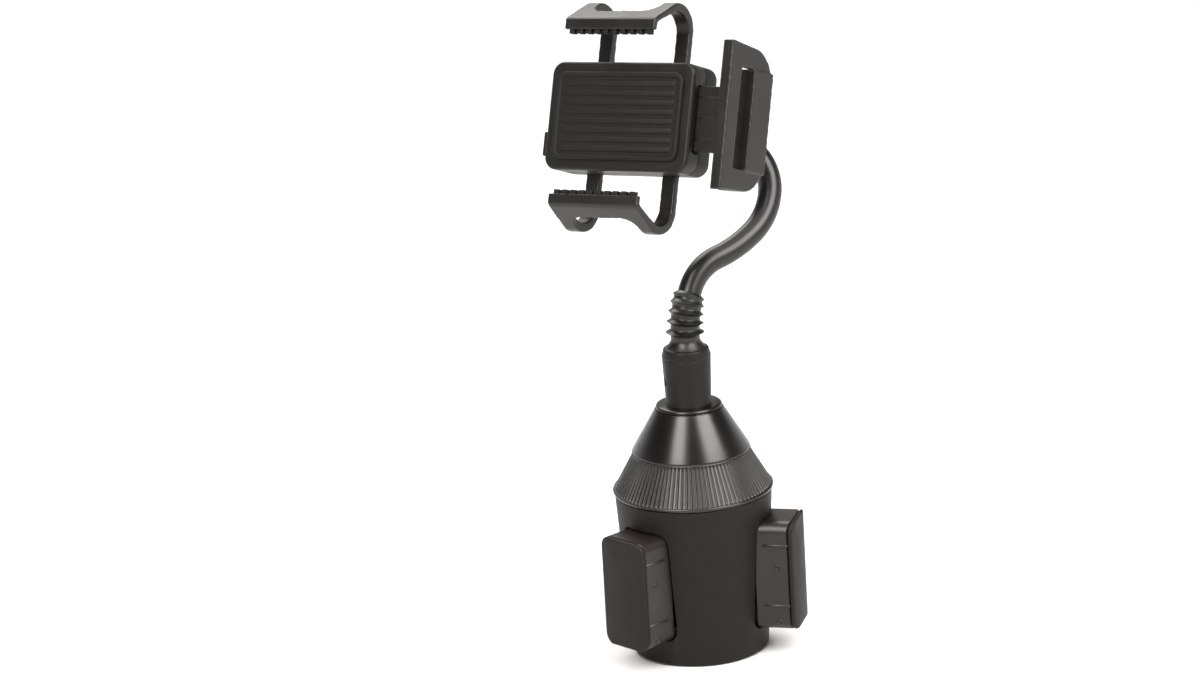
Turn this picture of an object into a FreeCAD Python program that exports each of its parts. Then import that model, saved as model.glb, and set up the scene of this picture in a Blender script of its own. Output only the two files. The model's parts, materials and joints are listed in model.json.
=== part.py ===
"""Cup-holder phone mount: expanding base, gooseneck, ball joint and spring-jaw cradle.

Millimetres, +Z up along the base's axis.  The origin is the centre of the base's bottom
face, and -Y is the way the phone's screen faces.  Each function makes one physical piece.
"""
import FreeCAD, Part
import math
import os

os.makedirs("parts", exist_ok=True)

V = FreeCAD.Vector

# ---- base: driving dimensions ----
CUP_FOOT_R = 27.4
CUP_TOP_R = 31.0
CUP_TOP_Z = 65.6
CUP_WALL = 2.2
FLOOR_T = 2.4
RING_BOTTOM_R = 31.7
RING_TOP_R = 22.9
RING_BOTTOM_Z = 66.0
RING_TOP_Z = 81.7
RING_WALL = 2.6
RIB_COUNT = 96
RIB_DEPTH = 0.45
CAP_BOTTOM_Z = 82.0
CAP_TOP_Z = 100.4
CAP_TOP_R = 12.2
COLLAR_R = 8.85
COLLAR_BOTTOM_Z = 100.7
COLLAR_TOP_Z = 123.7
POST_R = 4.0
SET_SCREW_ANGLE = 228.0
SET_SCREW_Z = 110.3

# ---- pads: three, driven outwards together by a scroll plate ----
PAD_ANGLES = (20.8, 140.8, 260.8)
PAD_OUTER_R = 43.0
PAD_INNER_R = 26.0
PAD_WIDTH = 23.0
PAD_BOTTOM_Z = 10.8
PAD_TOP_Z = 55.3
PAD_CORNER_R = 4.5
PAD_RUBBER_T = 1.6
PAD_GAP = 0.6
PAD_IN_TRAVEL = 10.0
PAD_OUT_TRAVEL = 4.0
PAD_TURN_DEG = 150.0
PIN_R = 1.5
PIN_REST_R = 18.5
CAM_Z = 65.9
CAM_T = 3.0
CAM_R = 27.2
SLOT_CLEARANCE = 0.15
SLOT_END_SPARE = 0.03

# ---- gooseneck: rigid links on hinges, bent as the neck stands ----
NECK_START_Z = 128.0
LINK_LENGTH = 18.1
SLEEVE_R = 4.7
SLEEVE_BORE_R = 3.0
CORE_R = 2.9
KNUCKLE_R = 3.0
KNUCKLE_SEAT_R = 3.08
SLEEVE_GAP = 1.15
# bend of each link about its own two cross axes, degrees
LINK_BENDS = ((-30, 1), (-38, 31), (11, -16), (28, -26), (40, -38), (38, -25), (19, 23))
BOOT_BORE_R = 5.0
BOOT_TUBE_R = 5.7
BOOT_FIN_R = 7.8
BOOT_FIN_PLACES = (1.9, 5.8, 9.5, 13.0, 16.2)
FERRULE_LENGTH = 6.5
BALL_OFFSET = 17.0

# ---- ball joint, round the ball's centre ----
BALL_R = 6.0
SEAT_INNER_R = 6.06
SEAT_OUTER_R = 7.3
SOCKET_CAVITY_R = 7.36
SOCKET_R = 10.4
NUT_R = 13.2

# ---- cradle, in its own frame: origin at the ball, X along the phone, Z across it ----
CRADLE_TILT_DEG = 21.2
CRADLE_ROLL_DEG = 4.27
REST_Y = -28.0
HOUSING_HALF_X = 33.0
HOUSING_HALF_Z = 21.0
HOUSING_FRONT_Y = -26.4
HOUSING_SPLIT_Y = -18.5
HOUSING_BACK_Y = -9.4
HOUSING_WALL = 1.8
HOUSING_CORNER_R = 5.0
PAD_SHEET_T = 1.6
ARM_HALF_X = 20.75
ARM_LEG_W = 6.25
RACK_FRONT_Y = -14.3
RACK_BACK_Y = -11.5
RACK_END_Z = 13.3
PINION_R = 6.0
PINION_TEETH = 12
RACK_PITCH = 2 * math.pi * PINION_R / PINION_TEETH
SCREW_PLACES = [(sx * 27.0, sz * 15.6) for sx in (-1, 1) for sz in (-1, 1)]
PAWL_PIVOT = (-12.9, -4.0)
RATCHET_TEETH = 24
RATCHET_R = 7.4
RATCHET_ROOT_R = 6.7
GRIP_TEETH = 10
GRIP_PITCH = 3.9
FOOT_LIP_X = 51.8
FOOT_OUTER_X = 57.0
FOOT_HALF_Z = 28.0


# ---------------------------------------------------------------- helpers
def save(shape, node):
    """One STEP file for one node."""
    shape = shape.removeSplitter() if shape.ShapeType != "Compound" else shape
    shape.exportStep("parts/" + node + ".step")


def box(x0, x1, y0, y1, z0, z1):
    """A block between two corners."""
    return Part.makeBox(x1 - x0, y1 - y0, z1 - z0, V(x0, y0, z0))


def tube(outer_r, inner_r, z0, z1):
    """An upright ring."""
    ring = Part.makeCylinder(outer_r, z1 - z0, V(0, 0, z0))
    return ring.cut(Part.makeCylinder(inner_r, z1 - z0 + 2, V(0, 0, z0 - 1)))


def polygon_face(points):
    """A flat face from corner points."""
    return Part.Face(Part.makePolygon(list(points) + [points[0]]))


def lathe(profile):
    """Turn an (r, z) profile about the Z axis."""
    face = polygon_face([V(r, 0, z) for r, z in profile])
    return face.revolve(V(0, 0, 0), V(0, 0, 1), 360)


def turned_z(shape, degrees):
    """A copy turned about the Z axis."""
    copy = shape.copy()
    copy.rotate(V(0, 0, 0), V(0, 0, 1), degrees)
    return copy


def fillet_where(shape, radius, chosen):
    """Round the edges that a test picks."""
    edges = [edge for edge in shape.Edges if chosen(edge)]
    return shape.makeFillet(radius, edges)


def along(edge, axis):
    """True for a straight edge that lies along one axis (0, 1 or 2)."""
    first, last = edge.Vertexes[0].Point, edge.Vertexes[-1].Point
    step = last.sub(first)
    sizes = [abs(step.x), abs(step.y), abs(step.z)]
    others = sum(sizes) - sizes[axis]
    return sizes[axis] > 0.5 and others < 1e-6 and edge.Curve.TypeId == "Part::GeomLine"


# ---------------------------------------------------------------- base
def base_cup():
    """Tapered hollow cup with three pad windows and the channels that guide the pads."""
    outer = [(0, 0), (CUP_FOOT_R - 1.6, 0), (CUP_FOOT_R - 0.5, 0.35), (CUP_FOOT_R, 1.4)]
    outer += [(CUP_TOP_R, CUP_TOP_Z - 1.4), (CUP_TOP_R - 0.5, CUP_TOP_Z), (0, CUP_TOP_Z)]
    solid = lathe(outer)
    inner_foot = CUP_FOOT_R - CUP_WALL
    inner_top = CUP_TOP_R - CUP_WALL
    core = lathe([(0, FLOOR_T), (inner_foot, FLOOR_T), (inner_top, CUP_TOP_Z), (0, CUP_TOP_Z)])
    ledge = tube(inner_foot + 0.6, inner_foot - 2.4, FLOOR_T, FLOOR_T + 2.0)
    cup = solid.cut(core).fuse(ledge.common(solid))
    cup = cup.cut(Part.makeCylinder(inner_foot - 0.6, FLOOR_T + 1, V(0, 0, -1)))
    half = PAD_WIDTH / 2 + PAD_GAP
    for angle in PAD_ANGLES:
        guides = box(8.2, 29, half, half + 1.6, 5.4, 57.5)
        guides = guides.fuse(box(8.2, 29, -half - 1.6, -half, 5.4, 57.5))
        cup = cup.fuse(turned_z(guides, angle).common(core))
    for angle in PAD_ANGLES:
        window = pad_prism(18, 40, PAD_GAP)
        channel = box(8.2, 24, -half, half, 5, 60)
        cup = cup.cut(turned_z(window.fuse(channel), angle))
    for angle in PAD_ANGLES:
        boss = Part.makeCylinder(2.6, 7, V(20.8, 0, FLOOR_T))
        pilot = Part.makeCylinder(1.2, 6.5, V(20.8, 0, FLOOR_T - 1))
        cup = cup.fuse(turned_z(boss, angle + 60).common(core)).cut(turned_z(pilot, angle + 60))
    return cup


def base_floor():
    """Round plate screwed into the cup's foot."""
    plate = Part.makeCylinder(CUP_FOOT_R - CUP_WALL - 0.75, FLOOR_T, V(0, 0, 0))
    for angle in PAD_ANGLES:
        hole = Part.makeCylinder(1.6, 5, V(20.8, 0, -1))
        sink = Part.makeCone(3.0, 1.6, 1.4, V(20.8, 0, -0.001))
        plate = plate.cut(turned_z(hole.fuse(sink), angle + 60))
    groove = tube(16.0, 15.0, -0.5, 0.4)
    return plate.cut(groove)


def floor_screws():
    """Three countersunk screws, heads just below the bottom face."""
    screws = []
    for angle in PAD_ANGLES:
        head = Part.makeCone(2.65, 1.25, 1.2, V(20.8, 0, 0.3))
        shank = Part.makeCylinder(1.15, 6.0, V(20.8, 0, 1.4))
        slot = box(18.8, 22.8, -0.35, 0.35, 0.2, 0.9)
        screws.append(turned_z(head.fuse(shank).cut(slot), angle + 60))
    return Part.makeCompound(screws)


def center_post():
    """Post that ties the floor to the cone cap and carries the ring's load."""
    profile = [(0, FLOOR_T), (12, FLOOR_T), (12, 4.6), (6, 5.4), (POST_R, 8), (POST_R, 79.5)]
    profile += [(9.4, 83.4), (9.4, 86.0), (5.2, 86.0), (5.2, 93.7), (0, 93.7)]
    return lathe(profile).cut(Part.makeCylinder(1.7, 14, V(0, 0, 81)))


def post_screw():
    """Screw down through the collar's floor into the post."""
    head = Part.makeCylinder(3.6, 2.4, V(0, 0, 99.0))
    shank = Part.makeCylinder(1.65, 14, V(0, 0, 85.4))
    socket = box(-1.2, 1.2, -1.2, 1.2, 100.2, 102)
    return head.fuse(shank).cut(socket)


def spiral_slot(angle):
    """Archimedean slot: the follower pin moves out as the plate turns with +Z."""
    lead = math.radians(PAD_TURN_DEG)
    gain = (PAD_IN_TRAVEL + PAD_OUT_TRAVEL) / lead
    half = PIN_R + SLOT_CLEARANCE
    start = -PAD_OUT_TRAVEL / gain - half / (PIN_REST_R + PAD_OUT_TRAVEL) - SLOT_END_SPARE
    end = PAD_IN_TRAVEL / gain + half / (PIN_REST_R - PAD_IN_TRAVEL) + SLOT_END_SPARE
    steps = 24
    inner, outer = [], []
    for step in range(steps + 1):
        turn = start + (end - start) * step / steps
        radius = PIN_REST_R - gain * turn
        theta = math.radians(angle) + turn
        out = V(math.cos(theta), math.sin(theta), 0)
        side = V(-math.sin(theta), math.cos(theta), 0)
        travel = (side * radius - out * gain).normalize()
        normal = V(travel.y, -travel.x, 0)
        inner.append(out * radius - normal * half)
        outer.append(out * radius + normal * half)
    inner_edge, outer_edge = Part.BSplineCurve(), Part.BSplineCurve()
    inner_edge.interpolate(inner)
    outer_edge.interpolate(outer)
    caps = [Part.makeLine(outer[-1], inner[-1]), Part.makeLine(inner[0], outer[0])]
    wire = Part.Wire(Part.__sortEdges__([outer_edge.toShape(), inner_edge.toShape()] + caps))
    slot = Part.Face(wire).extrude(V(0, 0, CAM_T + 2))
    slot.translate(V(0, 0, CAM_Z - 1))
    return slot


def cam_plate():
    """Scroll plate under the knurled ring, one spiral slot for each pad."""
    plate = tube(CAM_R, POST_R + 0.3, CAM_Z, CAM_Z + CAM_T)
    for angle in PAD_ANGLES:
        plate = plate.cut(spiral_slot(angle))
        hole = Part.makeCylinder(1.1, CAM_T + 2, V(25.2, 0, CAM_Z - 1))
        plate = plate.cut(turned_z(hole, angle - 22))
    return plate


def cam_screws():
    """Three screws that fix the scroll plate to the ring's flange."""
    screws = []
    for angle in PAD_ANGLES:
        head = Part.makeCylinder(1.6, 1.1, V(25.2, 0, CAM_Z - 1.1))
        shank = Part.makeCylinder(1.05, CAM_T + 2.0, V(25.2, 0, CAM_Z - 0.2))
        screws.append(turned_z(head.fuse(shank), angle - 22))
    return Part.makeCompound(screws)


def knurled_ring():
    """Conical ring with fine ribs, turned by hand to drive the pads."""
    slope = (RING_BOTTOM_R - RING_TOP_R) / (RING_TOP_Z - RING_BOTTOM_Z)
    edge = 1.1
    low_r, high_r = RING_BOTTOM_R - slope * edge, RING_TOP_R + slope * 0.5
    outer = [(RING_BOTTOM_R - 0.7, RING_BOTTOM_Z), (RING_BOTTOM_R, RING_BOTTOM_Z + 0.5)]
    outer += [(low_r, RING_BOTTOM_Z + edge), (high_r, RING_TOP_Z - 0.5)]
    outer += [(RING_TOP_R - 0.4, RING_TOP_Z)]
    flange_z = CAM_Z + CAM_T
    inner_at = lambda z: RING_BOTTOM_R - RING_WALL - slope * (z - RING_BOTTOM_Z)
    inner = [(inner_at(RING_TOP_Z), RING_TOP_Z), (inner_at(flange_z + 2), flange_z + 2)]
    inner += [(20.4, flange_z + 2), (20.4, flange_z), (CAM_R + 0.3, flange_z)]
    inner += [(CAM_R + 0.3, RING_BOTTOM_Z + 1.2), (28.6, RING_BOTTOM_Z)]
    ring = lathe(outer + inner)
    groove_length = math.hypot(low_r - high_r, RING_TOP_Z - 0.5 - RING_BOTTOM_Z - edge)
    lean = math.degrees(math.atan2(low_r - high_r, RING_TOP_Z - 0.5 - RING_BOTTOM_Z - edge))
    cutter = box(-RIB_DEPTH, 3, -0.42, 0.42, 0, groove_length - 0.4)
    cutter.rotate(V(0, 0, 0), V(0, 1, 0), -lean)
    cutter.translate(V(low_r - slope * 0.3, 0, RING_BOTTOM_Z + edge + 0.3))
    cutters = [turned_z(cutter, 360.0 * rib / RIB_COUNT) for rib in range(RIB_COUNT)]
    ring = ring.cut(Part.makeCompound(cutters))
    for angle in PAD_ANGLES:
        pilot = Part.makeCylinder(1.1, 2.0, V(25.2, 0, flange_z - 0.001))
        ring = ring.cut(turned_z(pilot, angle - 22))
    return ring


def ring_washer():
    """Thin slip washer between the cup's rim and the ring."""
    return tube(30.2, 28.9, CUP_TOP_Z, RING_BOTTOM_Z)


def cone_cap():
    """Smooth hollow cone over the post, with a hub that sits on the post's shoulder."""
    wall = 2.4
    slope = (RING_TOP_R - CAP_TOP_R) / (CAP_TOP_Z - CAP_BOTTOM_Z)
    outer = [(RING_TOP_R - 0.5, CAP_BOTTOM_Z), (RING_TOP_R, CAP_BOTTOM_Z + 0.4)]
    outer += [(CAP_TOP_R + slope * 0.9, CAP_TOP_Z - 1.5), (CAP_TOP_R + 0.35, CAP_TOP_Z - 1.2)]
    outer += [(CAP_TOP_R + 0.35, CAP_TOP_Z - 0.3), (CAP_TOP_R - 0.1, CAP_TOP_Z)]
    hub = [(5.6, CAP_TOP_Z), (5.6, 86.0), (9.2, 86.0), (9.2, CAP_TOP_Z - 4)]
    inner = [(CAP_TOP_R - wall + 1.2, CAP_TOP_Z - 4), (RING_TOP_R - wall - 0.5, CAP_BOTTOM_Z)]
    return lathe(outer + hub + inner)


def collar():
    """Tube that grips the gooseneck's root, with a lip and groove at its mouth."""
    z0, z1 = COLLAR_BOTTOM_Z, COLLAR_TOP_Z
    outer = [(5.4, 94.0), (5.4, CAP_TOP_Z), (COLLAR_R - 0.3, CAP_TOP_Z), (COLLAR_R, z0)]
    outer += [(COLLAR_R, z1 - 4.2), (COLLAR_R - 0.45, z1 - 4.0), (COLLAR_R - 0.45, z1 - 3.5)]
    outer += [(COLLAR_R + 0.1, z1 - 3.2), (COLLAR_R + 0.1, z1 - 0.9), (COLLAR_R - 0.6, z1)]
    bore = [(4.75, z1), (4.75, 99.0), (1.75, 99.0), (1.75, 94.0)]
    body = lathe(outer + bore)
    hole = Part.makeCylinder(2.0, 8, V(4, 0, SET_SCREW_Z), V(1, 0, 0))
    return body.cut(turned_z(hole, SET_SCREW_ANGLE))


def collar_set_screw():
    """Short screw in the collar's side that clamps the neck."""
    screw = Part.makeCylinder(1.95, 3.4, V(4.72, 0, SET_SCREW_Z), V(1, 0, 0))
    cross = box(7.2, 9, -0.3, 0.3, SET_SCREW_Z - 1.3, SET_SCREW_Z + 1.3)
    cross = cross.fuse(box(7.2, 9, -1.3, 1.3, SET_SCREW_Z - 0.3, SET_SCREW_Z + 0.3))
    return turned_z(screw.cut(cross), SET_SCREW_ANGLE)


# ---------------------------------------------------------------- pads
def pad_prism(x0, x1, spare):
    """Bar along the pad's axis; its end view is the pad's rounded rectangle, plus a spare gap."""
    half = PAD_WIDTH / 2 + spare
    bar = box(x0, x1, -half, half, PAD_BOTTOM_Z - spare, PAD_TOP_Z + spare)
    return fillet_where(bar, PAD_CORNER_R + spare, lambda e: along(e, 0))


def pad_block():
    """Hollow moulded block that slides through the cup's window."""
    face = Part.makeCylinder(PAD_OUTER_R - PAD_RUBBER_T, 80, V(0, 0, 0))
    block = pad_prism(PAD_INNER_R, PAD_OUTER_R + 1, 0).common(face)
    half = PAD_WIDTH / 2
    pocket = box(PAD_INNER_R - 1, 38.6, -half + 2, half - 2, PAD_BOTTOM_Z + 2.2, PAD_TOP_Z - 2.2)
    block = block.cut(pocket)
    for side in (-1, 1):
        low, high = sorted((side * (half - 0.2), side * (half + 0.3)))
        for z in (21.0, 46.0):
            block = block.fuse(box(29.5, 40.6, low, high, z, z + 0.8))
        for z in (14.5, 37.0):
            mark = Part.makeCylinder(1.2, 0.45, V(35.5, side * (half - 0.2), z), V(0, side, 0))
            block = block.fuse(mark)
    return block


def pad_rubber():
    """Curved rubber face on the outside of a pad."""
    outer = Part.makeCylinder(PAD_OUTER_R, 80, V(0, 0, 0))
    inner = Part.makeCylinder(PAD_OUTER_R - PAD_RUBBER_T, 80, V(0, 0, 0))
    return pad_prism(PAD_INNER_R, PAD_OUTER_R + 1, 0).common(outer).cut(inner)


def pad_carriage():
    """Slide behind the block, with the pin that follows the scroll plate."""
    top = 61.6
    plate = box(22.6, PAD_INNER_R, -8, 8, PAD_BOTTOM_Z + 1, PAD_TOP_Z - 0.5)
    riser = box(19.2, 23.0, -4.5, 4.5, 48, top)
    arm = box(PIN_REST_R - 1.7, 23, -4.5, 4.5, top - 3.4, top)
    pin = Part.makeCylinder(PIN_R, CAM_Z + CAM_T - top - 0.4, V(PIN_REST_R, 0, top))
    return plate.fuse(riser).fuse(arm).fuse(pin)


# ---------------------------------------------------------------- gooseneck
def link_frames():
    """Start frame of each link, and the frame after the last: (origin, rotation)."""
    frames = [(V(0, 0, NECK_START_Z), FreeCAD.Rotation())]
    for bend_x, bend_y in LINK_BENDS:
        origin, rotation = frames[-1]
        angle = math.radians(math.hypot(bend_x, bend_y))
        radius = LINK_LENGTH / angle
        toward = V(bend_y, -bend_x, 0).normalize()
        local = toward * (radius * (1 - math.cos(angle))) + V(0, 0, radius * math.sin(angle))
        turn = FreeCAD.Rotation(V(bend_x, bend_y, 0), math.degrees(angle))
        frames.append((origin + rotation.multVec(local), rotation.multiply(turn)))
    return frames


def placed(shape, frame):
    """A copy moved into a link's frame."""
    copy = shape.copy()
    copy.Placement = FreeCAD.Placement(frame[0], frame[1]).multiply(copy.Placement)
    return copy


def bent_rod(index, radius, start, end):
    """Round rod along one link's arc, from start to end along its length."""
    bend_x, bend_y = LINK_BENDS[index]
    angle = math.hypot(bend_x, bend_y)
    arc_r = LINK_LENGTH / math.radians(angle)
    toward = V(bend_y, -bend_x, 0).normalize()
    centre, axis = toward * arc_r, V(bend_x, bend_y, 0)
    section = Part.Face(Part.Wire(Part.makeCircle(radius, V(0, 0, 0), V(0, 0, 1))))
    section.rotate(centre, axis, angle * start / LINK_LENGTH)
    return section.revolve(centre, axis, angle * (end - start) / LINK_LENGTH)


def link_point(index, distance):
    """Local frame at a distance along one link's arc."""
    bend_x, bend_y = LINK_BENDS[index]
    angle = math.hypot(bend_x, bend_y) * distance / LINK_LENGTH
    arc_r = LINK_LENGTH / math.radians(math.hypot(bend_x, bend_y))
    toward = V(bend_y, -bend_x, 0).normalize()
    swing = math.radians(angle)
    point = toward * (arc_r * (1 - math.cos(swing))) + V(0, 0, arc_r * math.sin(swing))
    return point, FreeCAD.Rotation(V(bend_x, bend_y, 0), angle)


def neck_core(index, frames):
    """Wound steel core of one link: a knuckle at its foot, a seat for the next at its top."""
    last = index == len(LINK_BENDS) - 1
    rod = bent_rod(index, CORE_R, 0, LINK_LENGTH)
    link = Part.makeSphere(KNUCKLE_R).fuse(rod)
    link = placed(link, frames[index])
    if not last:
        link = link.cut(Part.makeSphere(KNUCKLE_SEAT_R, frames[index + 1][0]))
    return link


def neck_sleeve(index, frames):
    """Smooth outer sleeve of one link, short of each hinge by the bending gap."""
    last = index == len(LINK_BENDS) - 1
    end = LINK_LENGTH if last else LINK_LENGTH - SLEEVE_GAP
    skin = bent_rod(index, SLEEVE_R, SLEEVE_GAP, end)
    bore = bent_rod(index, SLEEVE_BORE_R, SLEEVE_GAP - 0.2, end + 0.2)
    return placed(skin.cut(bore), frames[index])


def root_core():
    """Core inside the collar, with the first knuckle's seat."""
    rod = Part.makeCylinder(CORE_R, NECK_START_Z - 102, V(0, 0, 102))
    return rod.cut(Part.makeSphere(KNUCKLE_SEAT_R, V(0, 0, NECK_START_Z)))


def root_sleeve():
    """Sleeve inside the collar."""
    return tube(SLEEVE_R, SLEEVE_BORE_R, 102, NECK_START_Z - SLEEVE_GAP)


def boot_foot():
    """Flared foot of the rubber boot, seated on the collar's mouth."""
    z0 = COLLAR_TOP_Z
    return lathe([(BOOT_BORE_R, z0), (8.0, z0), (8.2, z0 + 0.8), (7.2, z0 + 1.8), (6.0, z0 + 3.2),
                  (BOOT_BORE_R, z0 + 3.2)])


def neck_boot(frames):
    """Bellows of the boot: five fins on a thin tube round the first link."""
    boot = bent_rod(0, BOOT_TUBE_R, 1.1, 17.0)
    half_root, half_tip = 1.0, 0.45
    fin_profile = [(BOOT_BORE_R + 0.3, -half_root), (BOOT_FIN_R - 0.5, -half_tip)]
    fin_profile += [(BOOT_FIN_R, -half_tip * 0.5), (BOOT_FIN_R, half_tip * 0.5)]
    fin_profile += [(BOOT_FIN_R - 0.5, half_tip), (BOOT_BORE_R + 0.3, half_root)]
    for distance in BOOT_FIN_PLACES:
        fin = placed(lathe(fin_profile), link_point(0, distance))
        boot = boot.fuse(fin)
    boot = boot.cut(bent_rod(0, BOOT_BORE_R, 0, LINK_LENGTH))
    return placed(boot, frames[0])


def neck_ferrule():
    """End cap crimped on the neck's top, in the frame after the last link."""
    profile = [(0, 0.0), (4.9, 0.0), (5.4, 0.5), (5.4, 4.6), (4.4, FERRULE_LENGTH), (0, FERRULE_LENGTH)]
    return lathe(profile)


def ball_stud():
    """Steel ball on its stem, in the frame after the last link."""
    stem = Part.makeCylinder(3.0, BALL_OFFSET - FERRULE_LENGTH, V(0, 0, FERRULE_LENGTH))
    return stem.fuse(Part.makeSphere(BALL_R, V(0, 0, BALL_OFFSET)))


# ---------------------------------------------------------------- ball joint
def turned_y(profile):
    """Turn an (r, y) profile about the cradle's Y axis."""
    face = polygon_face([V(r, y, 0) for r, y in profile])
    return face.revolve(V(0, 0, 0), V(0, 1, 0), 360)


def seat_shell(y0, y1):
    """Slice of the spherical liner between two planes across the Y axis."""
    shell = Part.makeSphere(SEAT_OUTER_R).cut(Part.makeSphere(SEAT_INNER_R))
    return shell.common(box(-9, 9, y0, y1, -9, 9))


def ball_socket():
    """Flanged socket on the cradle's back, open at the rear for the stem."""
    y0 = HOUSING_BACK_Y
    outer = turned_y([(0, y0), (15.0, y0), (15.0, y0 + 1.6), (11.6, y0 + 2.6), (SOCKET_R, y0 + 4.4),
                      (SOCKET_R, 5.2), (SOCKET_R - 0.6, 5.8), (0, 5.8)])
    cavity = Part.makeSphere(SOCKET_CAVITY_R)
    mouth = turned_y([(0, 0), (8.0, 6.2), (0, 6.2)])
    socket = outer.cut(cavity).cut(mouth)
    for turn in range(4):
        slit = box(-0.5, 0.5, -1.0, 8, 5.5, 12)
        slit.rotate(V(0, 0, 0), V(0, 1, 0), 45 + 90 * turn)
        socket = socket.cut(slit)
    return socket


def lock_nut():
    """Ribbed nut that tightens the socket on the ball."""
    nut = turned_y([(SOCKET_R + 0.1, -2.4), (NUT_R - 0.5, -2.4), (NUT_R, -1.9), (NUT_R, 5.2),
                    (NUT_R - 1.0, 6.8), (8.9, 6.8), (8.9, 6.0), (SOCKET_R + 0.1, 6.0)])
    grooves = []
    for rib in range(24):
        groove = Part.makeCylinder(0.8, 7.0, V(NUT_R + 0.35, -2.0, 0), V(0, 1, 0))
        groove.rotate(V(0, 0, 0), V(0, 1, 0), 15 * rib)
        grooves.append(groove)
    return nut.cut(Part.makeCompound(grooves))


# ---------------------------------------------------------------- cradle housing
def rounded_slab(half_x, half_z, y0, y1, corner):
    """Slab with round corners, lying across the Y axis."""
    slab = box(-half_x, half_x, y0, y1, -half_z, half_z)
    return fillet_where(slab, corner, lambda e: along(e, 1))


def post_at(x, z, radius, y0, y1):
    """Round post along Y."""
    return Part.makeCylinder(radius, y1 - y0, V(x, y0, z), V(0, 1, 0))


def front_shell():
    """Front half of the housing, with the slot that the foot's tongue slides in."""
    wall = HOUSING_WALL
    shell = rounded_slab(HOUSING_HALF_X, HOUSING_HALF_Z, HOUSING_FRONT_Y, HOUSING_SPLIT_Y, HOUSING_CORNER_R)
    shell = fillet_where(shell, 1.2, lambda e: e.BoundBox.YMax < HOUSING_FRONT_Y + 0.01)
    hollow = rounded_slab(HOUSING_HALF_X - wall, HOUSING_HALF_Z - wall, HOUSING_FRONT_Y + wall,
                          HOUSING_SPLIT_Y + 1, HOUSING_CORNER_R - wall)
    shell = shell.cut(hollow)
    for x, z in SCREW_PLACES:
        shell = shell.fuse(post_at(x, z, 2.6, HOUSING_FRONT_Y + 1, HOUSING_SPLIT_Y))
        shell = shell.cut(post_at(x, z, 1.2, HOUSING_FRONT_Y + 2.4, HOUSING_SPLIT_Y + 1))
    return shell.cut(box(30, 34, -22.7, -19.3, -13.0, 13.0))


def back_shell():
    """Back half of the housing, with slots for the jaws' legs and the release button."""
    wall = 1.7
    shell = rounded_slab(HOUSING_HALF_X, HOUSING_HALF_Z, HOUSING_SPLIT_Y, HOUSING_BACK_Y, HOUSING_CORNER_R)
    shell = fillet_where(shell, 2.2, lambda e: e.BoundBox.YMin > HOUSING_BACK_Y - 0.01)
    hollow = rounded_slab(HOUSING_HALF_X - wall, HOUSING_HALF_Z - wall, HOUSING_SPLIT_Y - 1,
                          HOUSING_BACK_Y - wall, HOUSING_CORNER_R - wall)
    shell = shell.cut(hollow)
    for x, z in SCREW_PLACES:
        shell = shell.fuse(post_at(x, z, 2.6, HOUSING_SPLIT_Y, HOUSING_BACK_Y - 1))
        shell = shell.cut(post_at(x, z, 1.35, HOUSING_SPLIT_Y - 1, HOUSING_BACK_Y + 1))
        shell = shell.cut(post_at(x, z, 2.3, HOUSING_BACK_Y - 1.6, HOUSING_BACK_Y + 1))
    for side in (-1, 1):
        inner, outer = sorted((side * (ARM_HALF_X - ARM_LEG_W - 0.3), side * (ARM_HALF_X + 0.3)))
        shell = shell.cut(box(inner, outer, RACK_FRONT_Y - 0.3, HOUSING_BACK_Y - wall, -30, 30))
    return shell.cut(box(-34, -30, HOUSING_SPLIT_Y - 1, -15.5, -12.9, -9.6))


def front_pad():
    """Ribbed rubber sheet that the phone's back rests on."""
    sheet = rounded_slab(29.0, 17.0, REST_Y, HOUSING_FRONT_Y, 4.0)
    for row in range(9):
        z = -14.4 + 3.6 * row
        sheet = sheet.cut(box(-26, 26, REST_Y - 1, REST_Y + 0.6, z - 0.5, z + 0.5))
    return sheet


def shell_screws():
    """Four screws from the back that close the housing."""
    screws = []
    for x, z in SCREW_PLACES:
        head = post_at(x, z, 2.2, HOUSING_BACK_Y - 1.6, HOUSING_BACK_Y - 0.2)
        shank = post_at(x, z, 1.15, HOUSING_SPLIT_Y - 5, HOUSING_BACK_Y - 1.6)
        cross = box(x - 1.3, x + 1.3, HOUSING_BACK_Y - 0.9, HOUSING_BACK_Y, z - 0.25, z + 0.25)
        cross = cross.fuse(box(x - 0.25, x + 0.25, HOUSING_BACK_Y - 0.9, HOUSING_BACK_Y, z - 1.3, z + 1.3))
        screws.append(head.fuse(shank).cut(cross))
    return Part.makeCompound(screws)


def mid_plate():
    """Steel plate between the foot's tongue and the ratchet; it carries the pawl's pin."""
    plate = rounded_slab(30.4, 18.4, -19.4, -18.6, 2.5)
    for x, z in SCREW_PLACES:
        plate = plate.cut(post_at(x, z, 2.9, -20, -18))
    pin = post_at(PAWL_PIVOT[0], PAWL_PIVOT[1], 1.15, -19.0, -15.6)
    return plate.fuse(pin).cut(post_at(0, 0, 1.95, -20, -18))


def pinion_axle():
    """Pin through the middle plate and the back shell that the pinion turns on."""
    return post_at(0, 0, 1.92, -19.4, HOUSING_BACK_Y - 1.7)


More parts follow.
